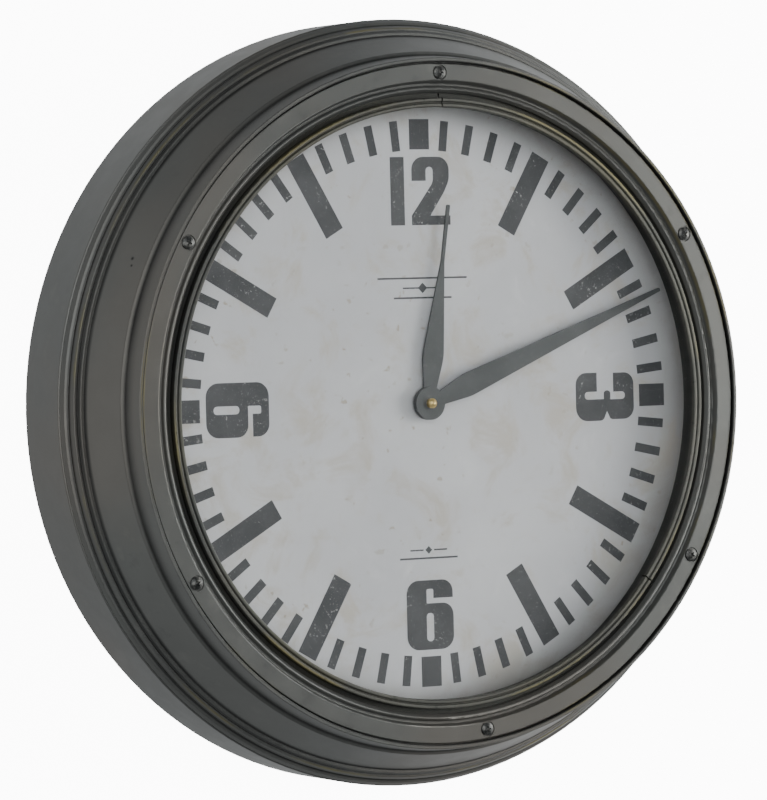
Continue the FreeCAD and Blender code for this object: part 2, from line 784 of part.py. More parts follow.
def make_hand(label, depth, reach, bore, thin_from):
    """Leaf hand: round hub, a blade widest at its shoulder, drawn in to a narrow tip."""
    body = new_body(label)

    def hub(sketch):
        draw_circle(sketch, "hub_radius")

    def blade(sketch):
        half = ["(blade_neck / 2)", "(blade_width / 2)", "(blade_tip / 2)"]
        right = [
            (half[0], "hub_radius - 2", "0"),
            (half[1], "blade_shoulder", "40"),
            (half[2], thin_from, "0"),
            (half[2], reach, "blade_tip / 3"),
        ]
        if thin_from == reach:
            del right[2]
        left = [("-" + across, up, rounding) for across, up, rounding in reversed(right)]
        draw_outline(sketch, right + left)

    def arbor_hole(sketch):
        draw_circle(sketch, bore)

    pad(body, label + "_hub", hub, depth, "hand_thickness")
    pad(body, label + "_blade", blade, depth, "hand_thickness")
    pocket(body, label + "_bore", arbor_hole, depth)
    return body


def make_hands():
    hour = make_hand("hour_hand", HOUR_HAND_BACK, HOUR_REACH, HOUR_TUBE, HOUR_REACH + " - 38")
    tip_radius = "minute_arbor_radius * 0.8"
    minute = make_hand("minute_hand", MINUTE_HAND_BACK, MINUTE_REACH, tip_radius, MINUTE_REACH)

    def collar(sketch):
        draw_circle(sketch, "hub_radius - 1")
        draw_circle(sketch, "minute_arbor_radius")

    pad(minute, "minute_hand_collar", collar, MINUTE_HAND_BACK + " - hand_gap + 0.4", "hand_gap - 0.4")
    minute.Placement = turned_placement(number("minute_hand_clock_angle"))
    hour.Placement = turned_placement(number("hour_hand_clock_angle"))
    front = number(MINUTE_HAND_FRONT)
    radius = number("hand_nut_radius")
    height = number("hand_nut_height")
    nut = cylinder(radius, front, front + height * 0.6)
    dome = Part.makeSphere(radius, FreeCAD.Vector(0, 0, front + height - radius))
    nut = nut.fuse(dome.common(cylinder(radius, front + height * 0.6, front + height))).removeSplitter()
    bore = cylinder(number(tip_radius), front - 1, front + height * 0.45)
    feature("hand_nut", nut.cut(bore))


# ---------------------------------------------------------------- gears


def gear_blank(teeth, module, low, high, first_tooth):
    """Straight-flanked gear; first_tooth is the angle of one tooth's middle, in radians."""
    pitch_radius = teeth * module / 2
    arc = math.pi * module / pitch_radius
    root = pitch_radius - 1.2 * module
    crest = pitch_radius + 0.85 * module
    rising = [(root, -0.26), (pitch_radius, -0.19), (crest, -0.07)]
    steps = rising + [(radius, -share) for radius, share in reversed(rising)]
    points = []
    for i in range(teeth):
        middle = first_tooth + i * 2 * math.pi / teeth
        for radius, share in steps:
            angle = middle + share * arc
            points.append(FreeCAD.Vector(radius * math.cos(angle), radius * math.sin(angle), low))
    points.append(points[0])
    return Part.Face(Part.makePolygon(points)).extrude(OUT * (high - low))


def meshed(first_tooth, teeth, other_teeth, direction):
    """Tooth angle that puts a second gear in mesh with a first one, which lies in -direction from it."""
    share = (direction - first_tooth) / (2 * math.pi / teeth)
    return direction + math.pi + (share + 0.5) * 2 * math.pi / other_teeth


def moved(shape, place):
    shape.translate(FreeCAD.Vector(place[0], place[1], 0))
    return shape


def make_motion_work():
    """Cannon arbor, the wheel that reduces it, and the hour wheel with its tube."""
    arbor = number("minute_arbor_radius")
    bore = arbor + number("running_gap")
    tube = number(HOUR_TUBE)
    distance = number("motion_distance")
    cannon_module = 2 * distance / (CANNON_TEETH + MINUTE_WHEEL_TEETH)
    hour_module = 2 * distance / (MINUTE_PINION_TEETH + HOUR_WHEEL_TEETH)
    plate = number(MIDDLE_PLATE) + number("plate_thickness")
    low = plate + 2.4
    hand_back = number(MINUTE_HAND_BACK)
    hand_front = number(MINUTE_HAND_FRONT)
    pivot = arbor - 0.3
    up = math.pi / 2
    cannon = gear_blank(CANNON_TEETH, cannon_module, low, low + 1.7, up)
    parts = [cylinder(pivot, plate + 0.1, low), cylinder(arbor, low, hand_back)]
    parts.append(cylinder(arbor * 0.8, hand_back, hand_front + number("hand_nut_height") * 0.4))
    arbor_shape = cannon.multiFuse(parts).removeSplitter()
    second_pivot = cylinder(0.75, plate, plate + 2.2)
    feature("minute_arbor", arbor_shape.cut(second_pivot))

    reducing_tooth = meshed(up, CANNON_TEETH, MINUTE_WHEEL_TEETH, up)
    wheel = gear_blank(MINUTE_WHEEL_TEETH, cannon_module, low + 0.2, low + 1.2, reducing_tooth)
    pinion = gear_blank(MINUTE_PINION_TEETH, hour_module, low + 1.2, low + 3.9, reducing_tooth)
    knob_end = number(KNOB_BACK)
    shaft = cylinder(0.9, knob_end + 0.8, number(MOVEMENT_FRONT) - 0.9)
    feature("minute_wheel", moved(wheel.multiFuse([pinion, shaft]).removeSplitter(), (0, distance)))

    hour_low = low + 2.5
    hour_tooth = meshed(reducing_tooth, MINUTE_PINION_TEETH, HOUR_WHEEL_TEETH, -up)
    hour = gear_blank(HOUR_WHEEL_TEETH, hour_module, hour_low, hour_low + 1.1, hour_tooth)
    sleeve = cylinder(tube, hour_low, number(HOUR_HAND_BACK + " + hand_thickness"))
    feature("hour_wheel", hour.fuse(sleeve).removeSplitter().cut(cylinder(bore, hour_low - 1, hand_back + 1)))

    knob = cylinder(number("knob_radius"), knob_end, knob_end + number("knob_length"), 0, distance)
    grips = []
    for i in range(18):
        angle = i * math.pi / 9
        x = number("knob_radius") * math.cos(angle)
        y = distance + number("knob_radius") * math.sin(angle)
        grips.append(cylinder(0.45, knob_end - 1, knob_end + number("knob_length") + 1, x, y))
    socket = cylinder(0.9, knob_end + 0.8, knob_end + 10, 0, distance)
    feature("setting_knob", knob.cut(Part.makeCompound(grips)).cut(socket))


def make_train():
    """Rotor, intermediate, second, third and centre wheels, between the housing's floor and front."""
    thin = number("pivot_radius")
    floor = number(MOVEMENT_BACK) + number("movement_wall")
    bottom = floor - 0.4
    plate = number(MIDDLE_PLATE)
    above = plate + number("plate_thickness")
    places = train_places()
    second = third = centre = 0.0
    third_module = 2 * abs(places["third"][0]) / (THIRD_WHEEL_TEETH + SECOND_PINION_TEETH)
    west = math.pi

    level = plate - 1.4
    wheel = gear_blank(SECOND_WHEEL_TEETH, number("second_module"), level - 1.6, level - 0.8, second)
    pinion = gear_blank(SECOND_PINION_TEETH, third_module, level - 0.8, level + 1.0, second)
    staff = [cylinder(0.7, plate - 0.6, above + 2.0), cylinder(thin, bottom, level - 1.6)]
    feature("second_wheel", wheel.multiFuse([pinion, *staff]).removeSplitter())

    third = meshed(second, SECOND_PINION_TEETH, THIRD_WHEEL_TEETH, west)
    wheel = gear_blank(THIRD_WHEEL_TEETH, third_module, level, level + 0.8, third)
    pinion = gear_blank(THIRD_PINION_TEETH, number("train_module"), above + 0.3, above + 1.5, third)
    staff = cylinder(thin, bottom, number(MOVEMENT_FRONT) - 1.1)
    feature("third_wheel", moved(wheel.multiFuse([pinion, staff]).removeSplitter(), places["third"]))

    centre = meshed(third, THIRD_PINION_TEETH, CENTRE_WHEEL_TEETH, 0.0)
    wheel = gear_blank(CENTRE_WHEEL_TEETH, number("train_module"), above + 0.5, above + 1.3, centre)
    hub = cylinder(2.6, above + 0.4, above + 2.2)
    bore = cylinder(number("minute_arbor_radius - 0.3 + running_gap"), above, above + 3)
    feature("centre_wheel", wheel.fuse(hub).removeSplitter().cut(bore))

    middle = meshed(second, SECOND_WHEEL_TEETH, INTERMEDIATE_PINION_TEETH, 0.0)
    pinion = gear_blank(INTERMEDIATE_PINION_TEETH, number("second_module"), level - 2.6, level - 0.6, middle)
    wheel = gear_blank(INTERMEDIATE_WHEEL_TEETH, number("rotor_module"), level - 3.2, level - 2.6, middle)
    staff = cylinder(thin, bottom, above - 0.2)
    wheel = wheel.multiFuse([pinion, staff]).removeSplitter()
    feature("intermediate_wheel", moved(wheel, places["intermediate"]))

    rotor_tooth = meshed(middle, INTERMEDIATE_WHEEL_TEETH, ROTOR_PINION_TEETH, ROTOR_DIRECTION)
    pinion = gear_blank(ROTOR_PINION_TEETH, number("rotor_module"), level - 3.4, level - 2.4, rotor_tooth)
    staff = cylinder(thin, bottom, above - 0.2)
    feature("rotor_pinion", moved(pinion.fuse(staff).removeSplitter(), places["rotor"]))
    magnet = cylinder(number("magnet_radius"), level - 1.4, level + 0.8).cut(cylinder(thin, plate - 9, plate))
    feature("rotor_magnet", moved(magnet, places["rotor"]))


def train_places():
    """Axes of the train's wheels in the modelling frame, from the gears' own centre distances."""
    third_distance = number("train_module") * (CENTRE_WHEEL_TEETH + THIRD_PINION_TEETH) / 2
    reach = number("second_module") * (SECOND_WHEEL_TEETH + INTERMEDIATE_PINION_TEETH) / 2
    arm = number("rotor_module") * (INTERMEDIATE_WHEEL_TEETH + ROTOR_PINION_TEETH) / 2
    rotor = (reach + arm * math.cos(ROTOR_DIRECTION), arm * math.sin(ROTOR_DIRECTION))
    return {"third": (-third_distance, 0.0), "intermediate": (reach, 0.0), "rotor": rotor}


# ---------------------------------------------------------------- movement


def make_housing():
    """Two moulded halves round the movement, the bush through the dial and what tightens it."""
    half = "(movement_width / 2)"
    wall = "movement_wall"
    inner = f"{half} - {wall}"
    split = MOVEMENT_BACK + " + movement_thickness / 2"
    deep = "movement_thickness / 2"
    width = "movement_width"
    bay_top = "(0 - movement_width / 2 + movement_wall + 2 * cell_radius + 0.9)"
    bay_low = f"-{half} + {wall} - 0.6"
    shaft = "(0.9 + running_gap)"
    pivot = "(pivot_radius + running_gap)"
    places = train_places()

    shell = block("front_block", f"-{half}", f"-{half}", split, width, width, deep)
    clear = f"{width} - 2 * {wall}"
    edge = f"-({inner})"
    hollow = block("front_hollow", edge, edge, split + " - 1", clear, clear, f"{deep} - {wall} + 1")
    tools = [hollow, disc("front_bush_hole", "bush_radius", MOVEMENT_FRONT + " - 3", "6")]
    tools.append(disc("front_shaft_pit", shaft, MOVEMENT_FRONT + " - 3", "2.3", "0", "motion_distance"))
    tools.append(disc("front_third_pit", pivot, MOVEMENT_FRONT + " - 3", "2.1", str(places["third"][0])))
    keep(cut("movement_front", shell, tools), "movement_front")

    shell = block("rear_block", f"-{half}", f"-{half}", MOVEMENT_BACK, width, width, deep)
    hollow = block("rear_hollow", edge, edge, f"{MOVEMENT_BACK} + {wall}", clear, clear, deep)
    bay = block("rear_bay", edge + " + 0.4", bay_low + " + 0.6", MOVEMENT_BACK + " - 1",
                clear + " - 0.8", f"{bay_top} + {half} - {wall}", wall + " + 2")
    shelled = cut("rear_shell", shell, [hollow, bay])
    added = [shelled]
    floor = f"{MOVEMENT_BACK} + {wall} - 0.2"
    added.append(block("rear_partition", edge, bay_top, floor, clear, "0.7", f"{deep} - {wall}"))
    for i, (x, y) in enumerate(PLATE_POSTS):
        added.append(disc(f"plate_post_{i + 1}", "1.5", floor, f"{MIDDLE_PLATE} - ({floor})", str(x), str(y)))
    for i, (x, y) in enumerate(STATOR_POSTS):
        added.append(disc(f"stator_post_{i + 1}", "1.2", floor, f"{STATOR} - ({floor})", str(x), str(y)))
    for i, (x, y) in enumerate(BOARD_POSTS):
        added.append(disc(f"board_post_{i + 1}", "1.2", floor, f"{BOARD} - ({floor})", str(x), str(y)))
    bores = [disc("rear_shaft_hole", shaft, MOVEMENT_BACK + " - 1", "6", "0", "motion_distance")]
    pits = {"second": (0.0, 0.0), **places}
    for name, (x, y) in pits.items():
        bores.append(disc(f"rear_{name}_pit", pivot, f"{MOVEMENT_BACK} + {wall} - 0.5", "3", str(x), str(y)))
    keep(cut("movement_rear", fuse("rear_solid", added), bores), "movement_rear")

    make_bush()


def make_bush():
    """Threaded bush through the dial, the washers on both sides of the dial and the nut."""
    low = MOVEMENT_FRONT + " - movement_wall"
    bush = disc("bush_barrel", "bush_radius", low, f"{BUSH_END} - ({low})")
    bore = disc("bush_bore", HOUR_TUBE + " + running_gap", MOVEMENT_FRONT + " - 4", "30")
    keep(cut("movement_bush", bush, [bore]), "movement_bush")
    rubber = disc("rubber_rim", "11", MOVEMENT_FRONT, "rubber_thickness")
    brass = disc("brass_rim", "7.5", DIAL, "washer_thickness")
    nut = prism("nut_hexagon", "bush_flats", BUSH_NUT_BACK, "bush_nut_height")
    for label, depth, thickness, blank in (
        ("rubber_washer", MOVEMENT_FRONT, "rubber_thickness", rubber),
        ("brass_washer", DIAL, "washer_thickness", brass),
        ("bush_nut", BUSH_NUT_BACK, "bush_nut_height", nut),
    ):
        hole = disc(label + "_hole", "bush_radius", depth + " - 1", thickness + " + 2")
        keep(cut(label, blank, [hole]), label)


def make_middle_plate():
    """Plate that carries the front pivots of the rotor, intermediate and second wheels."""
    places = train_places()
    base = block("plate_blank", "middle_plate_left", "middle_plate_low", MIDDLE_PLATE,
                 "middle_plate_width", "middle_plate_height", "plate_thickness")
    below = MIDDLE_PLATE + " - 1"
    holes = [disc("plate_second_hole", "0.75", below, "4")]
    holes.append(disc("plate_shaft_hole", "1.3", below, "4", "0", "motion_distance"))
    holes.append(disc("plate_third_hole", "1.0", below, "4", str(places["third"][0])))
    for name in ("intermediate", "rotor"):
        x, y = places[name]
        holes.append(disc(f"plate_{name}_hole", "pivot_radius + running_gap", below, "4", str(x), str(y)))
    keep(cut("middle_plate", base, holes), "middle_plate")


def make_motor():
    """Stator strip round the rotor, and the coil on its core across the strip's two arms."""
    x, y = train_places()["rotor"]
    strip_left = f"{x} - strip_width / 2"
    strip = block("stator_strip", strip_left, "strip_low", STATOR, "strip_width", "strip_length",
                  "stator_thickness")
    arms = [strip]
    for name, low in (("low", "strip_low"), ("high", "strip_low + strip_length - core_width")):
        reach = f"core_left + core_width - {x}"
        arms.append(block(f"stator_{name}_arm", str(x), low, STATOR, reach, "core_width", "stator_thickness"))
    hole = disc("stator_hole", "magnet_radius + 0.4", STATOR + " - 1", "4", str(x), str(y))
    keep(cut("stator", fuse("stator_blank", arms), [hole]), "stator")
    core_depth = f"{STATOR} + stator_thickness"
    core = block("coil_core", "core_left", "strip_low", core_depth, "core_width", "strip_length",
                 "stator_thickness")
    keep(core, "coil_core")
    make_coil(number(core_depth + " + stator_thickness / 2"))


def make_coil(centre):
    """Bobbin with its two flanges and the winding between them, round the core at a depth."""
    wall = number("bobbin_wall")
    flange = number("bobbin_flange")
    low = number("bobbin_low")
    length = number("bobbin_length")
    turns = number("winding_depth")
    core_left = number("core_left")
    core_width = number("core_width")
    thickness = number("stator_thickness")

    def bar(grow_across, grow_deep, start, end):
        """Box along the core, grown from the core's own section."""
        deep = thickness / 2 + grow_deep
        corner = FreeCAD.Vector(core_left - grow_across, start, centre - deep)
        return Part.makeBox(core_width + 2 * grow_across, end - start, 2 * deep, corner)

    ends = [bar(2 * wall, turns + 0.8, low, low + flange)]
    ends.append(bar(2 * wall, turns + 0.8, low + length - flange, low + length))
    tube = bar(wall, wall + 0.1, low + flange / 2, low + length - flange / 2)
    slot = bar(0.0, 0.0, low - 5, low + length + 5)
    feature("coil_bobbin", tube.multiFuse(ends).removeSplitter().cut(slot))
    winding = bar(2 * wall - 0.1, turns + 0.5, low + flange + 0.05, low + length - flange - 0.05)
    winding = winding.makeFillet(0.6, [edge for edge in winding.Edges if abs(edge.tangentAt(0).y) > 0.9])
    feature("coil_winding", winding.cut(bar(wall, wall + 0.1, low - 5, low + length + 5)))


def make_circuit():
    """Board with its timing chip and the crystal's can."""
    chip_depth = f"{BOARD} + circuit_thickness"
    board = block("circuit_board", "circuit_left", "circuit_low", BOARD, "circuit_width", "circuit_height",
                  "circuit_thickness")
    keep(board, "circuit_board")
    chip_left = "circuit_left + circuit_width - 2 * chip_side + 2"
    chip = block("timing_chip", chip_left, "circuit_low + 2", chip_depth, "chip_side", "chip_side",
                 "chip_thickness")
    keep(chip, "timing_chip")
    can = cylinder(number("crystal_radius"), 0, number("crystal_length"))
    can.rotate(FreeCAD.Vector(), FreeCAD.Vector(1, 0, 0), -90)
    rest = number(f"{chip_depth} + crystal_radius")
    can.translate(FreeCAD.Vector(number("circuit_left + 4.5"), number("circuit_low + 2.5"), rest))
    feature("quartz_crystal", can)


def make_cell():
    """Battery along the bottom of the movement, between its two contacts."""
    radius = number("cell_radius")
    length = number("cell_length")
    inner = number("movement_width / 2 - movement_wall")
    y = -inner + radius + 0.2
    depth = number(MOVEMENT_BACK) + radius + 0.2
    right = inner - 0.6 - 1.0
    left = right - length
    axis = FreeCAD.Vector(1, 0, 0)
    cell = Part.makeCylinder(radius, length, FreeCAD.Vector(left, y, depth), axis)
    cell = cell.makeFillet(0.6, cell.Edges)
    nub = Part.makeCylinder(2.75, 1.0, FreeCAD.Vector(right, y, depth), axis)
    feature("battery_cell", cell.fuse(nub))
    plus = Part.makeBox(0.4, 10, 9, FreeCAD.Vector(right + 1.0, y - 5, depth - 4.5))
    feature("battery_contact_plus", plus)
    minus = Part.makeBox(0.4, 10, 9, FreeCAD.Vector(-inner + 0.2, y - 5, depth - 4.5))
    reach = left - (-inner + 0.6)
    spring = Part.makeCone(4.0, 2.0, reach, FreeCAD.Vector(-inner + 0.6, y, depth), axis)
    feature("battery_contact_minus", minus.fuse(spring).removeSplitter())


def check_document():
    """Stop when a feature failed or a piece has no sound shape."""
    for item in doc.Objects:
        if "Invalid" in item.State or "Error" in item.State:
            raise RuntimeError(f"{item.Name} failed: {item.State}")
    for node in nodes:
        if node.Shape.isNull() or not node.Shape.isValid():
            raise RuntimeError(f"{node.Label} has no valid shape")


def write_parts():
    os.makedirs("parts", exist_ok=True)
    for node in nodes:
        node.Shape.exportStep(f"parts/{node.Label}.step")


make_case()
make_bezel()
make_glazing()
make_dial()
make_clamps()
make_back()
make_hanger()
make_hands()
make_motion_work()
make_train()
make_housing()
make_middle_plate()
make_motor()
make_circuit()
make_cell()
doc.recompute()
check_document()
write_parts()
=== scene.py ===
"""Looks of the metal-cased wall clock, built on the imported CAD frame. Lengths are in metres."""

import math

import bmesh
import bpy
from mathutils import Matrix, Vector
from mathutils.geometry import tessellate_polygon


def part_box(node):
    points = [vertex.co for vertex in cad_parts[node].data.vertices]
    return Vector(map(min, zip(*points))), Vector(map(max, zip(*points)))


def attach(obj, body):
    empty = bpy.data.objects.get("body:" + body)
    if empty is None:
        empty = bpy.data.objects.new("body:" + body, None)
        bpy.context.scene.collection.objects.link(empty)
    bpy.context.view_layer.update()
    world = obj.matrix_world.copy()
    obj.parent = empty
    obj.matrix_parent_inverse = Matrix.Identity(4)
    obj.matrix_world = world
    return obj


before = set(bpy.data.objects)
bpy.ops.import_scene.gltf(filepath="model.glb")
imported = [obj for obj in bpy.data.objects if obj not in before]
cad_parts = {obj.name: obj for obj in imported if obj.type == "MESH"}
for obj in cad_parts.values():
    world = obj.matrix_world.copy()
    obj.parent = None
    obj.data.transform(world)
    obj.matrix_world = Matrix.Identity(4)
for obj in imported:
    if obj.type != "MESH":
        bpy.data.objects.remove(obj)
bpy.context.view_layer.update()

MM = 0.001
BODY = "case_group"
DIAL_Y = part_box("dial_face")[0].y
CASE_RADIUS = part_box("case_shell")[1].x
BEZEL_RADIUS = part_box("bezel_ring")[1].x


# ---------------------------------------------------------------- shader nodes


class Look:
    """The node tree of one material, with a short call for each node that the looks repeat."""

    def __init__(self, material):
        material.use_nodes = True
        self.tree = material.node_tree
        self.tree.nodes.clear()
        self.end = self.node("OutputMaterial")
        self.place = self.node("TexCoord").outputs["Object"]
        parts = self.node("SeparateXYZ")
        self.join(self.place, parts.inputs[0])
        self.x, self.y, self.z = parts.outputs
        flat = self.node("CombineXYZ")
        self.join(self.x, flat.inputs[0])
        self.join(self.z, flat.inputs[2])
        self.flat = flat.outputs[0]
        length = self.node("VectorMath", operation="LENGTH")
        self.join(self.flat, length.inputs[0])
        self.radius = length.outputs["Value"]
        self.normal = None

    def node(self, kind, **settings):
        made = self.tree.nodes.new("ShaderNode" + kind)
        for name, value in settings.items():
            setattr(made, name, value)
        return made

    def join(self, source, socket):
        """Link an output to a socket, or set the socket to a plain value."""
        if isinstance(source, bpy.types.NodeSocket):
            self.tree.links.new(source, socket)
        elif isinstance(source, tuple) and len(source) == 3 and socket.type == "RGBA":
            socket.default_value = (*source, 1.0)
        else:
            socket.default_value = source

    def sum(self, operation, a, b=0.0):
        """Result of one Math node on one or two numbers."""
        made = self.node("Math", operation=operation)
        self.join(a, made.inputs[0])
        self.join(b, made.inputs[1])
        return made.outputs[0]

    def noise(self, scale, detail=4.0, roughness=0.55, shift=0.0, stretch=(1.0, 1.0, 1.0), warp=0.0):
        """Cloudy noise over the object; shift moves it, so that two calls don't coincide."""
        mapping = self.node("Mapping")
        self.join(self.place, mapping.inputs["Vector"])
        mapping.inputs["Location"].default_value = (shift, shift * 0.7, -shift)
        mapping.inputs["Scale"].default_value = stretch
        made = self.node("TexNoise")
        self.join(mapping.outputs[0], made.inputs["Vector"])
        made.inputs["Scale"].default_value = scale
        made.inputs["Detail"].default_value = detail
        made.inputs["Roughness"].default_value = roughness
        made.inputs["Distortion"].default_value = warp
        return made.outputs["Fac"]

    def spun(self, scale, detail=3.0, shift=0.0):
        """Noise that runs in thin rings round the clock's axis, as a spinning tool leaves it."""
        across = self.node("CombineXYZ")
        self.join(self.sum("ADD", self.radius, shift), across.inputs[0])
        self.join(self.y, across.inputs[1])
        made = self.node("TexNoise")
        self.join(across.outputs[0], made.inputs["Vector"])
        made.inputs["Scale"].default_value = scale
        made.inputs["Detail"].default_value = detail
        return made.outputs["Fac"]

    def cells(self, scale):
        """Distance from the nearest of many scattered points, as in zinc spangle."""
        made = self.node("TexVoronoi")
        self.join(self.place, made.inputs["Vector"])
        made.inputs["Scale"].default_value = scale
        return made.outputs["Distance"]

    def span(self, value, low, high):
        """Eased step: 0 at low, 1 at high, held beyond both; low may be the larger."""
        made = self.node("MapRange", clamp=True, interpolation_type="SMOOTHSTEP")
        self.join(value, made.inputs["Value"])
        backwards = low > high
        made.inputs["From Min"].default_value = min(low, high)
        made.inputs["From Max"].default_value = max(low, high)
        made.inputs["To Min"].default_value = 1.0 if backwards else 0.0
        made.inputs["To Max"].default_value = 0.0 if backwards else 1.0
        return made.outputs["Result"]

    def close(self, value, centre, reach):
        """1 where value is at centre, down to 0 at reach from it."""
        away = self.sum("ABSOLUTE", self.sum("SUBTRACT", value, centre))
        return self.span(away, reach, 0.0)

    def times(self, *values):
        """Product of several numbers."""
        total = values[0]
        for value in values[1:]:
            total = self.sum("MULTIPLY", total, value)
        return total

    def most(self, *values):
        """Largest of several numbers."""
        total = values[0]
        for value in values[1:]:
            total = self.sum("MAXIMUM", total, value)
        return total

    def spot(self, centre, reach):
        """1 at a place on the object, down to 0 at reach from it."""
        gap = self.node("VectorMath", operation="DISTANCE")
        self.join(self.place, gap.inputs[0])
        gap.inputs[1].default_value = centre
        return self.span(gap.outputs["Value"], reach, 0.0)

    def mix(self, factor, a, b):
        """Colour a at factor 0, colour b at factor 1."""
        made = self.node("Mix", data_type="RGBA")
        self.join(factor, made.inputs[0])
        self.join(a, made.inputs[6])
        self.join(b, made.inputs[7])
        return made.outputs[2]

    def vary(self, value, low, high):
        """A number between low and high that follows value from 0.3 to 0.7, where noise lies."""
        made = self.node("MapRange", clamp=True)
        self.join(value, made.inputs["Value"])
        made.inputs["From Min"].default_value = 0.3
        made.inputs["From Max"].default_value = 0.7
        made.inputs["To Min"].default_value = low
        made.inputs["To Max"].default_value = high
        return made.outputs["Result"]

    def bump(self, height, distance, strength):
        """Roughen the surface by a height, on top of any bump already added."""
        made = self.node("Bump")
        made.inputs["Strength"].default_value = strength
        made.inputs["Distance"].default_value = distance
        self.join(height, made.inputs["Height"])
        if self.normal is not None:
            self.join(self.normal, made.inputs["Normal"])
        self.normal = made.outputs["Normal"]

    def finish(self, colour, roughness, metallic=0.0, **more):
        """Principled surface; more gives sockets by name, with _ for a space. Returns its node."""
        made = self.node("BsdfPrincipled")
        self.join(colour, made.inputs["Base Color"])
        self.join(roughness, made.inputs["Roughness"])
        self.join(metallic, made.inputs["Metallic"])
        for name, value in more.items():
            self.join(value, made.inputs[name.replace("_", " ")])
        if self.normal is not None:
            self.join(self.normal, made.inputs["Normal"])
        self.join(made.outputs[0], self.end.inputs["Surface"])
        return made


# ---------------------------------------------------------------- looks of the material slots


GROOVES = ((4.6, 1.1), (8.8, 1.1), (12.2, 1.1), (26.4, 1.6), (31.1, 1.1))
LARGE_CHIP = (-0.2141, -0.0784, 0.0992)
SMALL_CHIP = (-0.2155, -0.0796, 0.0947)


def gunmetal(look):
    """Spun sheet, darkened: olive brass rubbed through on the beads, and painted shade in the grooves."""
    broad = look.noise(6.0, 4.0, 0.55)
    fine = look.noise(60.0, 6.0, 0.6, shift=3.0)
    grain = look.noise(1500.0, 2.0, 0.5)
    base = look.mix(look.span(broad, 0.35, 0.65), (0.112, 0.116, 0.110), (0.138, 0.142, 0.134))
    base = look.mix(look.times(look.span(fine, 0.54, 0.74), 0.30), base, (0.185, 0.186, 0.172))
    base = look.mix(look.times(look.span(fine, 0.44, 0.28), 0.30), base, (0.070, 0.073, 0.070))
    warm = look.times(look.span(look.noise(4.5, 3.0, 0.5, shift=14.0), 0.44, 0.62), 0.75)
    base = look.mix(warm, base, (0.136, 0.128, 0.114))
    beads = [look.close(look.radius, CASE_RADIUS - 6.7 * MM, 1.2 * MM),
             look.close(look.radius, CASE_RADIUS - 30.4 * MM, 1.0 * MM),
             look.close(look.radius, BEZEL_RADIUS - 11.9 * MM, 1.0 * MM),
             look.close(look.radius, BEZEL_RADIUS - 0.6 * MM, 0.9 * MM)]
    worn = look.span(look.noise(13.0, 4.0, 0.6, shift=9.0), 0.47, 0.66)
    base = look.mix(look.times(look.most(*beads), worn, 0.60), base, (0.220, 0.195, 0.085))
    # Painted shade: the grooves are darkened towards near black, by an amount that noise varies, to stand in
    # for the shade inside them.
    grooves = [look.close(look.radius, CASE_RADIUS - inset * MM, reach * MM) for inset, reach in GROOVES]
    groove_shade_strength = look.vary(look.noise(20.0, 3.0, 0.5, shift=12.0), 0.60, 0.90)
    base = look.mix(look.times(look.most(*grooves), groove_shade_strength), base, (0.020, 0.021, 0.020))
    chips = look.most(look.spot(LARGE_CHIP, 1.9 * MM),
                      look.spot(SMALL_CHIP, 1.4 * MM))
    base = look.mix(chips, base, (0.015, 0.015, 0.014))
    look.bump(grain, 0.00006, 0.35)
    look.bump(look.spun(900.0), 0.00010, 0.12)
    look.bump(look.noise(28.0, 3.0, 0.5, shift=5.0), 0.0009, 0.06)
    look.finish(base, look.vary(fine, 0.42, 0.50), 0.72)


TRIM_RADIUS = 199.5 * MM
TRIM_DEEP = (-102.2 * MM, -99.0 * MM)


def trim_metal(look):
    """Darker mottled metal, olive on its outer edge, with painted shade darkening the recessed corners beside
    the glass.
    """
    broad = look.noise(12.0, 5.0, 0.6, shift=2.0)
    fine = look.noise(160.0, 5.0, 0.6)
    base = look.mix(look.span(broad, 0.35, 0.65), (0.080, 0.083, 0.078), (0.115, 0.115, 0.100))
    olive = look.span(look.noise(9.0, 3.0, 0.5, shift=7.0), 0.48, 0.62)
    edge = look.close(look.radius, TRIM_RADIUS, 1.6 * MM)
    base = look.mix(look.times(olive, look.most(edge, 0.15), 0.7), base, (0.245, 0.215, 0.095))
    base = look.mix(look.times(look.span(fine, 0.42, 0.28), 0.6), base, (0.045, 0.046, 0.042))
    # Painted shade: the trim turns near black the further it lies back in the recess beside the glass.
    deep_shade = look.times(look.span(look.y, *TRIM_DEEP), 0.7)
    base = look.mix(deep_shade, base, (0.020, 0.021, 0.019))
    look.bump(look.noise(1200.0, 2.0), 0.00006, 0.35)
    look.finish(base, look.vary(fine, 0.46, 0.60), 0.75)


def black_steel(look):
    """Black-coated steel, dull and slightly cloudy."""
    mottle = look.noise(60.0, 4.0)
    base = look.mix(look.span(mottle, 0.35, 0.65), (0.018, 0.019, 0.018), (0.032, 0.033, 0.031))
    look.bump(look.noise(1500.0, 2.0), 0.00008, 0.5)
    look.finish(base, look.vary(mottle, 0.50, 0.68), 0.3)


BACK_OPENING = 79.0 * MM


def back_steel(look):
    """Sheet with a dull spangled zinc coat, scuffed, with faint rust near the middle opening."""
    flakes = look.cells(130.0)
    mottle = look.noise(40.0, 5.0, 0.6)
    base = look.mix(look.span(flakes, 0.1, 0.8), (0.238, 0.243, 0.248), (0.288, 0.293, 0.298))
    base = look.mix(look.times(look.span(mottle, 0.48, 0.72), 0.4), base, (0.15, 0.152, 0.155))
    rust = look.times(look.span(look.noise(22.0, 6.0, 0.7, shift=4.0), 0.56, 0.70),
                      look.close(look.radius, BACK_OPENING, 12.0 * MM))
    base = look.mix(rust, base, (0.16, 0.075, 0.035))
    look.bump(look.noise(300.0, 3.0), 0.0001, 0.25)
    look.finish(base, look.vary(mottle, 0.36, 0.58), 0.85)


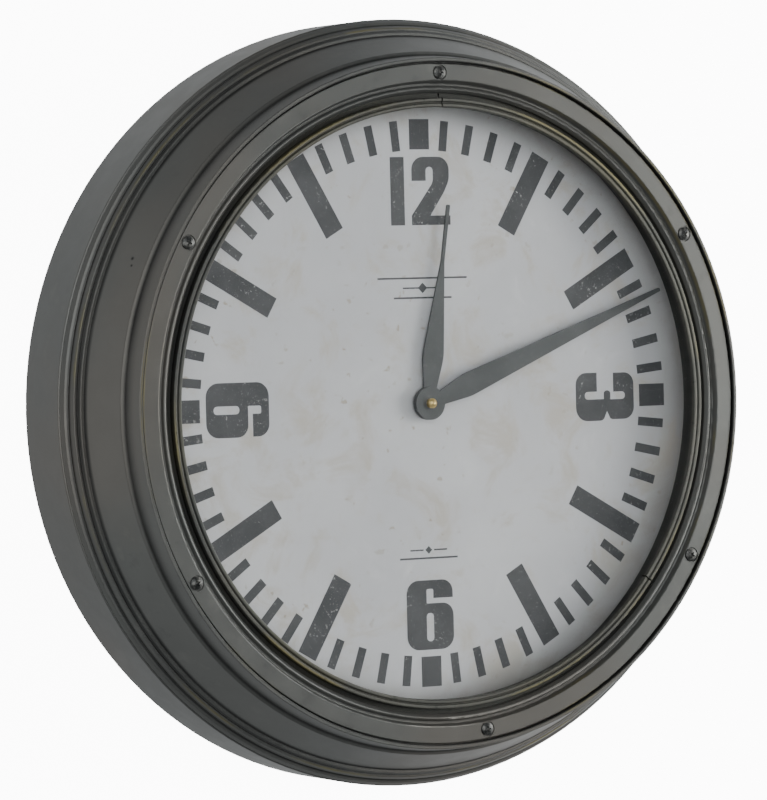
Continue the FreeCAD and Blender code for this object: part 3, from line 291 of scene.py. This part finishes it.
def glass(look):
    """Clear pane; shadows pass it, so the dial behind is lit as through real glass."""
    pane = look.node("BsdfPrincipled")
    pane.inputs["Base Color"].default_value = (0.985, 0.995, 0.99, 1.0)
    pane.inputs["Transmission Weight"].default_value = 1.0
    pane.inputs["IOR"].default_value = 1.45
    smear = look.noise(14.0, 4.0, 0.6)
    look.join(look.vary(smear, 0.0, 0.03), pane.inputs["Roughness"])
    clear = look.node("BsdfTransparent")
    rays = look.node("LightPath")
    blend = look.node("MixShader")
    look.join(rays.outputs["Is Shadow Ray"], blend.inputs[0])
    look.join(pane.outputs[0], blend.inputs[1])
    look.join(clear.outputs[0], blend.inputs[2])
    look.join(blend.outputs[0], look.end.inputs["Surface"])


def rubber(look):
    """Matt black rubber with a little pale dust."""
    dust = look.noise(120.0, 4.0, 0.6)
    base = look.mix(look.span(dust, 0.4, 0.75), (0.014, 0.014, 0.014), (0.045, 0.044, 0.041))
    look.bump(look.noise(1400.0, 2.0), 0.00012, 0.6)
    look.finish(base, look.vary(dust, 0.72, 0.9), 0.0)


def screw_steel(look):
    """Blackened heads, brighter where a driver and rubbing have touched them."""
    mottle = look.noise(350.0, 5.0, 0.65)
    base = look.mix(look.span(mottle, 0.40, 0.66), (0.040, 0.042, 0.041), (0.155, 0.155, 0.145))
    look.bump(look.noise(2500.0, 2.0), 0.00005, 0.4)
    look.finish(base, look.vary(mottle, 0.34, 0.52), 0.8)


def plated(colour, dull, rough, scale):
    """Look of a plated or bare metal with cloudy tarnish and fine drawing lines."""
    def build(look):
        cloud = look.noise(scale, 5.0, 0.6)
        base = look.mix(look.span(cloud, 0.36, 0.66), dull, colour)
        look.bump(look.noise(900.0, 2.0, stretch=(1.0, 1.0, 0.15)), 0.00006, 0.35)
        look.finish(base, look.vary(cloud, rough, rough + 0.16), 1.0)
    return build


def board(look):
    """Pressed fibre board, brown, with fibres and paler dust."""
    fibre = look.noise(240.0, 6.0, 0.7, stretch=(1.0, 1.0, 0.3))
    cloud = look.noise(18.0, 4.0)
    base = look.mix(look.span(fibre, 0.35, 0.68), (0.16, 0.095, 0.052), (0.33, 0.225, 0.135))
    base = look.mix(look.times(look.span(cloud, 0.45, 0.7), 0.4), base, (0.22, 0.150, 0.090))
    look.bump(fibre, 0.0002, 0.5)
    look.finish(base, look.vary(fibre, 0.72, 0.9), 0.0)


def dial_paper(look):
    """Aged printed sheet: cool grey, with beige stains, fine foxing, and darkening towards the outside that
    is partly staining and partly painted shade of the surrounding ring.
    """
    broad = look.noise(5.5, 5.0, 0.62, shift=1.0)
    cloud = look.noise(24.0, 6.0, 0.65, shift=6.0, warp=0.6)
    grain = look.noise(420.0, 4.0, 0.6)
    base = look.mix(look.span(broad, 0.36, 0.66), (0.470, 0.475, 0.490), (0.540, 0.545, 0.555))
    base = look.mix(look.times(look.span(cloud, 0.49, 0.67), 0.85), base, (0.440, 0.410, 0.360))
    base = look.mix(look.times(look.span(cloud, 0.42, 0.26), 0.45), base, (0.610, 0.615, 0.620))
    base = look.mix(look.times(look.span(grain, 0.60, 0.72), 0.22), base, (0.400, 0.380, 0.350))
    fox = look.times(look.span(look.noise(150.0, 2.0, 0.5, shift=8.0), 0.66, 0.73),
                     look.span(look.noise(9.0, 3.0, 0.5, shift=2.0), 0.42, 0.62))
    base = look.mix(look.times(fox, 0.75), base, (0.330, 0.285, 0.220))
    # Towards the outside the sheet turns grey: partly age staining, partly painted shade cast by the ring.
    rim_stain_and_shade = look.span(look.radius, 170.0 * MM, 207.0 * MM)
    base = look.mix(look.times(rim_stain_and_shade, look.vary(cloud, 0.25, 0.60)), base, (0.330, 0.325, 0.310))
    # Painted shade: a darker band just inside the ring, where the ring shades the sheet, varied by noise.
    edge = look.times(look.span(look.radius, 180.0 * MM, 200.0 * MM), look.vary(cloud, 0.50, 0.75))
    base = look.mix(edge, base, (0.235, 0.230, 0.220))
    stain = look.spot((190.0 * MM, DIAL_Y, -30.0 * MM), 45.0 * MM)
    tea = look.times(stain, look.span(cloud, 0.40, 0.60), 0.45)
    base = look.mix(tea, base, (0.420, 0.370, 0.300))
    look.bump(grain, 0.00005, 0.30)
    look.finish(base, look.vary(cloud, 0.62, 0.80), 0.0, Specular_IOR_Level=0.3)


def ink(look):
    """Dark slate print, rubbed through to the sheet in small ragged flecks."""
    tone = look.noise(30.0, 5.0, 0.6, shift=3.0)
    base = look.mix(look.span(tone, 0.35, 0.65), (0.044, 0.046, 0.049), (0.070, 0.072, 0.075))
    flecks = look.noise(430.0, 5.0, 0.66, shift=5.0)
    where = look.noise(28.0, 3.0, 0.55, shift=11.0)
    worn = look.times(look.span(flecks, 0.60, 0.67), look.span(where, 0.46, 0.64))
    pinholes = look.span(look.noise(900.0, 2.0, 0.5, shift=7.0), 0.68, 0.74)
    base = look.mix(look.most(worn, look.times(pinholes, 0.35)), base, (0.430, 0.430, 0.420))
    look.finish(base, look.vary(tone, 0.62, 0.78), 0.0, Specular_IOR_Level=0.3)


def hand_paint(look):
    """Dark blue-grey paint with fine pale rubs."""
    cloud = look.noise(40.0, 5.0, 0.6)
    fine = look.noise(500.0, 3.0, 0.6)
    base = look.mix(look.span(cloud, 0.35, 0.68), (0.046, 0.050, 0.051), (0.062, 0.067, 0.068))
    base = look.mix(look.times(look.span(fine, 0.60, 0.70), 0.4), base, (0.120, 0.120, 0.112))
    look.bump(fine, 0.00005, 0.35)
    look.finish(base, look.vary(cloud, 0.44, 0.60), 0.25)


def plastic(dark, light, rough):
    """Look of a moulded plastic with a fine spark-eroded texture and handling marks."""
    def build(look):
        cloud = look.noise(70.0, 4.0)
        base = look.mix(look.span(cloud, 0.35, 0.68), dark, light)
        look.bump(look.noise(2600.0, 2.0), 0.00004, 0.5)
        look.finish(base, look.vary(cloud, rough, rough + 0.14), 0.0)
    return build


def magnet(look):
    """Sintered ferrite: dark, grainy and half metallic."""
    cloud = look.noise(300.0, 4.0)
    look.bump(look.noise(2000.0, 3.0), 0.00005, 0.6)
    look.finish(look.mix(cloud, (0.03, 0.03, 0.032), (0.085, 0.082, 0.080)), look.vary(cloud, 0.4, 0.6), 0.5)


WIRE_WIDTH = 0.09 * MM


def copper(look):
    """Enamelled wire: fine turns along the coil, with a painted highlight on each turn's crest and painted
    shade in the gaps between turns.
    """
    turns = look.sum("PINGPONG", look.z, WIRE_WIDTH)
    # Painted highlight and shade: the copper colour runs from dark in the gap between turns to bright on each
    # crest, and the same ramp drives the bump.
    light = look.span(turns, 0.0, WIRE_WIDTH)
    base = look.mix(light, (0.22, 0.055, 0.02), (0.62, 0.21, 0.085))
    look.bump(light, 0.00008, 0.8)
    look.finish(base, look.vary(look.noise(200.0), 0.26, 0.42), 0.9)


def circuit_green(look):
    """Solder mask with copper tracks showing paler under it."""
    weave = look.noise(900.0, 2.0)
    across = look.close(look.sum("PINGPONG", look.x, 2.1 * MM), 1.1 * MM, 0.35 * MM)
    along = look.close(look.sum("PINGPONG", look.z, 2.7 * MM), 1.4 * MM, 0.30 * MM)
    tracks = look.times(look.most(across, along), look.span(look.noise(260.0, 0.0), 0.45, 0.5))
    base = look.mix(look.span(weave, 0.35, 0.65), (0.008, 0.060, 0.022), (0.014, 0.085, 0.034))
    base = look.mix(tracks, base, (0.040, 0.190, 0.075))
    look.bump(tracks, 0.00005, 0.8)
    look.finish(base, look.vary(weave, 0.28, 0.42), 0.0)


def battery(look):
    """Plain sleeve: charcoal with a copper band at the positive end and bare steel caps."""
    low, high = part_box("battery_cell")
    scuff = look.noise(180.0, 5.0, 0.6)
    sleeve = look.mix(look.span(scuff, 0.4, 0.7), (0.022, 0.023, 0.026), (0.045, 0.046, 0.050))
    band = look.span(look.x, high.x - 15.0 * MM, high.x - 14.6 * MM)
    sleeve = look.mix(band, sleeve, look.mix(scuff, (0.42, 0.19, 0.07), (0.55, 0.27, 0.11)))
    line = look.close(look.x, high.x - 16.5 * MM, 0.4 * MM)
    sleeve = look.mix(line, sleeve, (0.42, 0.19, 0.07))
    cap = look.most(look.span(look.x, high.x - 2.2 * MM, high.x - 2.0 * MM),
                    look.span(look.x, low.x + 1.0 * MM, low.x + 0.8 * MM))
    base = look.mix(cap, sleeve, (0.52, 0.52, 0.50))
    look.finish(base, look.vary(scuff, 0.25, 0.40), cap)


LOOKS = {
    "gunmetal": gunmetal,
    "trim": trim_metal,
    "black_steel": black_steel,
    "back_steel": back_steel,
    "glass": glass,
    "rubber": rubber,
    "screw_steel": screw_steel,
    "zinc": plated((0.62, 0.63, 0.62), (0.40, 0.41, 0.42), 0.28, 60.0),
    "aluminium": plated((0.72, 0.72, 0.72), (0.50, 0.51, 0.52), 0.34, 90.0),
    "board": board,
    "dial_paper": dial_paper,
    "hand_paint": hand_paint,
    "brass": plated((0.80, 0.62, 0.27), (0.55, 0.40, 0.16), 0.24, 140.0),
    "gear_plastic": plastic((0.60, 0.59, 0.54), (0.74, 0.73, 0.68), 0.38),
    "black_plastic": plastic((0.016, 0.016, 0.017), (0.030, 0.030, 0.031), 0.42),
    "magnet": magnet,
    "core_steel": plated((0.50, 0.51, 0.52), (0.33, 0.34, 0.36), 0.30, 120.0),
    "bobbin_plastic": plastic((0.045, 0.10, 0.16), (0.07, 0.14, 0.21), 0.40),
    "copper": copper,
    "circuit_green": circuit_green,
    "battery": battery,
}

for slot_name, build in LOOKS.items():
    build(Look(bpy.data.materials[slot_name]))

ink_material = bpy.data.materials.new("dial_ink")
ink(Look(ink_material))


# ---------------------------------------------------------------- printed dial

PRINT_FRONT = DIAL_Y - 0.10 * MM
PRINT_BACK = DIAL_Y + 0.10 * MM
# Inner radius, outer radius and width of each kind of mark, in millimetres.
TICK = (167.0, 187.0, 6.0)
QUARTER = (167.4, 187.4, 15.0)
BAR = (130.5, 187.0, 14.3)
NUMERAL_RADIUS = 140.0
ONE_TWO_HEIGHT = 45.0
NUMERAL_HEIGHT = 46.0
SIX_WIDTH = 35.5
DASH_OFFSET = 9.0
ARC_STEPS = 7


def rounded(corners):
    """Points of a closed outline whose corners are (x, y) or (x, y, radius)."""
    points = []
    count = len(corners)
    for i, corner in enumerate(corners):
        here = Vector(corner[:2])
        if len(corner) == 2:
            points.append(here)
            continue
        before = (Vector(corners[i - 1][:2]) - here).normalized()
        after = (Vector(corners[(i + 1) % count][:2]) - here).normalized()
        half = before.angle(after) / 2
        inset = corner[2] / math.tan(half)
        centre = here + (before + after).normalized() * corner[2] / math.sin(half)
        start = here + before * inset - centre
        end = here + after * inset - centre
        turn = start.angle_signed(end)
        for step in range(ARC_STEPS + 1):
            arm = start.copy()
            arm.rotate(Matrix.Rotation(-turn * step / ARC_STEPS, 2))
            points.append(centre + arm)
    return points


def bar_outline(low, high, width, centre=0.0):
    """An upright bar from low to high, as wide as asked, about a centre line."""
    half = width / 2
    return [(centre - half, low), (centre + half, low), (centre + half, high), (centre - half, high)]


def diamond_outline(centre, reach):
    return [(0, centre - reach), (reach, centre), (0, centre + reach), (-reach, centre)]


# Outlines of the numerals, each followed by its holes; corners are (x, y) or (x, y, radius), in millimetres.
SIX = [
    [(0, 0, 9), (35.5, 0, 9), (35.5, 30.6, 8), (15.2, 30.6, 0.8), (15.2, 40.2, 1.2), (20.4, 40.2, 1.2),
     (20.4, 34.0), (35.2, 34.0), (35.2, 46, 8), (0, 46, 9)],
    [(15.0, 5.5, 2.5), (20.4, 5.5, 2.5), (20.4, 24.3, 2.5), (15.0, 24.3, 2.5)],
]
THREE = [
    [(0, 0, 8), (32.5, 0, 9), (32.5, 21.2, 4), (30.9, 22.3), (26.0, 24.5), (31.0, 27.0), (31.8, 28.5, 2),
     (31.8, 46, 8), (0.4, 46, 7.5), (0.4, 29.8), (13.2, 29.8), (13.2, 39, 2.4), (18.3, 39, 2.4),
     (18.3, 27.4), (12.2, 27.4, 2.2), (12.2, 22.2, 2.2), (18.0, 22.2), (18.0, 7.1, 2.4), (12.8, 7.1, 2.4),
     (12.8, 16.8), (0, 16.8)],
]
TWO = [
    [(0, 0), (29.4, 0), (29.4, 6.2), (14.2, 6.2), (24.8, 21.5, 14), (28.9, 29.5, 14), (28.9, 45, 8.5),
     (0.4, 45, 8.5), (0.4, 29.2), (11.2, 29.2), (11.2, 38.4, 2.6), (16.6, 38.4, 2.6), (16.6, 28.2, 8),
     (0, 6.4)],
]
ONE = [[(0, 0), (10.5, 0), (10.5, 45), (0, 45)]]


def moved(outlines, across, up, turn=0.0):
    """The outlines shifted by (across, up), then turned clockwise by turn degrees about the dial's centre."""
    spin = Matrix.Rotation(-math.radians(turn), 2)
    return [[spin @ (Vector(point) + Vector((across, up))) for point in line] for line in outlines]


def print_piece(name, shapes):
    """A thin solid on the dial; each shape is an outline followed by its holes, in millimetres."""
    vertices, faces = [], []
    for outlines in shapes:
        start = len(vertices)
        flat = [point for line in outlines for point in line]
        for depth in (PRINT_FRONT, PRINT_BACK):
            vertices.extend((point.x * MM, depth, point.y * MM) for point in flat)
        size = len(flat)
        triangles = tessellate_polygon([[point.to_3d() for point in line] for line in outlines])
        for a, b, c in triangles:
            faces.append((start + a, start + b, start + c))
            faces.append((start + size + c, start + size + b, start + size + a))
        first = start
        for line in outlines:
            for i in range(len(line)):
                a, b = first + i, first + (i + 1) % len(line)
                faces.append((b, a, a + size, b + size))
            first += len(line)
    mesh = bpy.data.meshes.new(name)
    mesh.from_pydata(vertices, [], faces)
    mesh.validate()
    mesh.update()
    piece = bpy.data.objects.new(name, mesh)
    bpy.context.scene.collection.objects.link(piece)
    orient(mesh)
    mesh.materials.append(ink_material)
    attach(piece, BODY)


def orient(mesh):
    """Make all faces of a closed mesh look outwards."""
    work = bmesh.new()
    work.from_mesh(mesh)
    bmesh.ops.recalc_face_normals(work, faces=work.faces)
    work.to_mesh(mesh)
    work.free()


def place_numeral(outlines, left, height, clock_angle, spin):
    """An upright outline centred on its clock angle at the numeral radius, turned on the spot by spin."""
    upright = moved([rounded(line) for line in outlines], left, -height / 2)
    own = moved(upright, 0.0, 0.0, spin)
    angle = math.radians(clock_angle)
    centre = (NUMERAL_RADIUS * math.sin(angle), NUMERAL_RADIUS * math.cos(angle))
    return moved(own, *centre)


def ornament(name, rules, diamond, dash):
    """Plain ruled lines, a small diamond and a short dash on each side of it."""
    shapes = [[rounded(bar_outline(*rule))] for rule in rules]
    shapes.append([rounded(diamond_outline(*diamond))])
    for side in (-1, 1):
        shapes.append([rounded(bar_outline(*dash, side * DASH_OFFSET))])
    print_piece(name, shapes)


def make_print():
    """All that is printed on the dial: marks, numerals and two plain ornaments in place of lettering."""
    ticks, quarters, bars = [], [], []
    for minute in range(60):
        angle = minute * 6.0
        if minute % 5:
            ticks.append(moved([rounded(bar_outline(*TICK))], 0, 0, angle))
        elif minute % 15:
            bars.append(moved([rounded(bar_outline(*BAR))], 0, 0, angle))
        else:
            quarters.append(moved([rounded(bar_outline(*QUARTER))], 0, 0, angle))
    print_piece("print_minute_ticks", ticks)
    print_piece("print_quarter_marks", quarters)
    print_piece("print_hour_bars", bars)
    twelve = [place_numeral(ONE, -22.6, ONE_TWO_HEIGHT, 0, 0), place_numeral(TWO, -6.8, ONE_TWO_HEIGHT, 0, 0)]
    print_piece("print_numeral_12", twelve)
    print_piece("print_numeral_3", [place_numeral(THREE, -16.2, NUMERAL_HEIGHT, 90, 90)])
    print_piece("print_numeral_6", [place_numeral(SIX, -SIX_WIDTH / 2, NUMERAL_HEIGHT, 180, 0)])
    nine = [[(SIX_WIDTH - x, NUMERAL_HEIGHT - y, *radius) for x, y, *radius in line] for line in SIX]
    print_piece("print_numeral_9", [place_numeral(nine, -SIX_WIDTH / 2, NUMERAL_HEIGHT, 270, -90)])
    ornament("print_rules_upper", [(82.0, 83.2, 68.0), (69.0, 70.2, 44.0)], (76.1, 3.5), (75.6, 76.6, 12.0))
    ornament("print_rules_lower", [(-103.0, -101.8, 44.0)], (-97.0, 2.6), (-97.5, -96.5, 10.0))


make_print()


# ---------------------------------------------------------------- stage, light and camera

STAGE_SIZE = 30.0
FLOOR_DROP = 0.9
WALL_GAP = 0.5 * MM
SHEET_TONE = 0.9


def stage_sheet(name, place, turn, tone, glow):
    """A large one-sided sheet: plain from the front, unseen from behind, with no effect on the light."""
    half = STAGE_SIZE / 2
    corners = [(-half, -half, 0), (half, -half, 0), (half, half, 0), (-half, half, 0)]
    mesh = bpy.data.meshes.new(name)
    mesh.from_pydata(corners, [], [(0, 1, 2, 3)])
    mesh.transform(Matrix.Translation(place) @ Matrix.Rotation(turn, 4, "X"))
    mesh.update()
    sheet = bpy.data.objects.new(name, mesh)
    bpy.context.scene.collection.objects.link(sheet)
    material = bpy.data.materials.new(name + "_paint")
    look = Look(material)
    duller = tone * 0.98
    made = look.finish(look.mix(look.noise(3.0), (tone, tone, tone), (duller, duller, duller)), 0.9)
    made.inputs["Emission Color"].default_value = (1.0, 1.0, 1.0, 1.0)
    made.inputs["Emission Strength"].default_value = glow
    side = look.node("NewGeometry")
    clear = look.node("BsdfTransparent")
    blend = look.node("MixShader")
    look.join(side.outputs["Backfacing"], blend.inputs[0])
    look.join(made.outputs[0], blend.inputs[1])
    look.join(clear.outputs[0], blend.inputs[2])
    look.join(blend.outputs[0], look.end.inputs["Surface"])
    mesh.materials.append(material)
    sheet.visible_diffuse = False
    sheet.visible_glossy = False
    sheet.visible_transmission = False
    sheet.visible_shadow = False


stage_sheet("wall", Vector((0, WALL_GAP, 0)), math.radians(90), SHEET_TONE, 11.0)
stage_sheet("floor", Vector((0, 0, -FLOOR_DROP)), 0.0, SHEET_TONE, 0.6)


LIGHT_AIM = Vector((0, -0.05, 0))


def soft_light(name, azimuth, elevation, distance, size, power, colour):
    """An area light aimed at the clock, unseen by the camera; azimuth 0 is straight in front."""
    data = bpy.data.lights.new(name, "AREA")
    data.shape = "SQUARE"
    data.size = size
    data.energy = power
    data.color = colour
    lamp = bpy.data.objects.new(name, data)
    bpy.context.scene.collection.objects.link(lamp)
    turn, rise = math.radians(azimuth), math.radians(elevation)
    direction = Vector((math.sin(turn) * math.cos(rise), -math.cos(turn) * math.cos(rise), math.sin(rise)))
    lamp.location = LIGHT_AIM + direction * distance
    lamp.rotation_euler = direction.to_track_quat("Z", "Y").to_euler()
    lamp.visible_camera = False


soft_light("key", 60, 4, 1.9, 1.0, 30, (1.0, 0.995, 0.98))
soft_light("fill", -18, 8, 3.0, 2.0, 44, (0.97, 0.985, 1.0))
soft_light("rear", 180, 20, 2.6, 2.0, 3, (0.98, 0.99, 1.0))


# Ramps of the room's brightness, multiplied: axis of the direction, its low and high ends, values there.
ROOM_RAMPS = (
    (1, -0.85, 0.70, 0.14, 0.80),
    (0, 0.20, 0.95, 0.82, 2.20),
    (0, -0.95, -0.50, 1.90, 1.00),
    (2, 0.84, 0.97, 1.00, 0.40),
)


def studio_world():
    """Pale room: brighter behind, far right and far left, and dimmer in front and overhead."""
    world = bpy.data.worlds.new("studio")
    bpy.context.scene.world = world
    world.use_nodes = True
    tree = world.node_tree
    background = tree.nodes["Background"]
    background.inputs["Color"].default_value = (0.93, 0.95, 0.97, 1.0)
    direction = tree.nodes.new("ShaderNodeTexCoord")
    parts = tree.nodes.new("ShaderNodeSeparateXYZ")
    tree.links.new(direction.outputs["Generated"], parts.inputs[0])
    total = None
    for axis, low, high, first, last in ROOM_RAMPS:
        ramp = tree.nodes.new("ShaderNodeMapRange")
        ramp.interpolation_type = "SMOOTHSTEP"
        tree.links.new(parts.outputs[axis], ramp.inputs["Value"])
        for name, value in (("From Min", low), ("From Max", high), ("To Min", first), ("To Max", last)):
            ramp.inputs[name].default_value = value
        if total is None:
            total = ramp.outputs["Result"]
            continue
        product = tree.nodes.new("ShaderNodeMath")
        product.operation = "MULTIPLY"
        tree.links.new(total, product.inputs[0])
        tree.links.new(ramp.outputs["Result"], product.inputs[1])
        total = product.outputs[0]
    tree.links.new(total, background.inputs["Strength"])


studio_world()

VIEW_TURN = 29.516
VIEW_TILT = 1.314
VIEW_ROLL = 1.385
VIEW_OFFSET = Vector((0.02703, -0.00207, -3.10258))
LENS = 211.4
SENSOR_WIDTH = 36.0
CLIP_END = 100.0


def make_camera():
    """Camera left of the clock and a little above, level with a slight roll."""
    turn = Matrix.Rotation(math.radians(VIEW_TURN), 3, "Y")
    tilt = Matrix.Rotation(math.radians(VIEW_TILT), 3, "X")
    roll = Matrix.Rotation(math.radians(VIEW_ROLL), 3, "Z")
    to_view = roll @ tilt @ turn
    to_row = Matrix(((1, 0, 0), (0, 0, -1), (0, 1, 0)))
    data = bpy.data.cameras.new("view")
    data.lens = LENS
    data.sensor_width = SENSOR_WIDTH
    data.clip_end = CLIP_END
    camera = bpy.data.objects.new("view", data)
    bpy.context.scene.collection.objects.link(camera)
    back = to_view.transposed()
    place = to_row @ (back @ -VIEW_OFFSET) + Vector((0, DIAL_Y, 0))
    camera.matrix_world = Matrix.Translation(place) @ (to_row @ back).to_4x4()
    bpy.context.scene.camera = camera


make_camera()
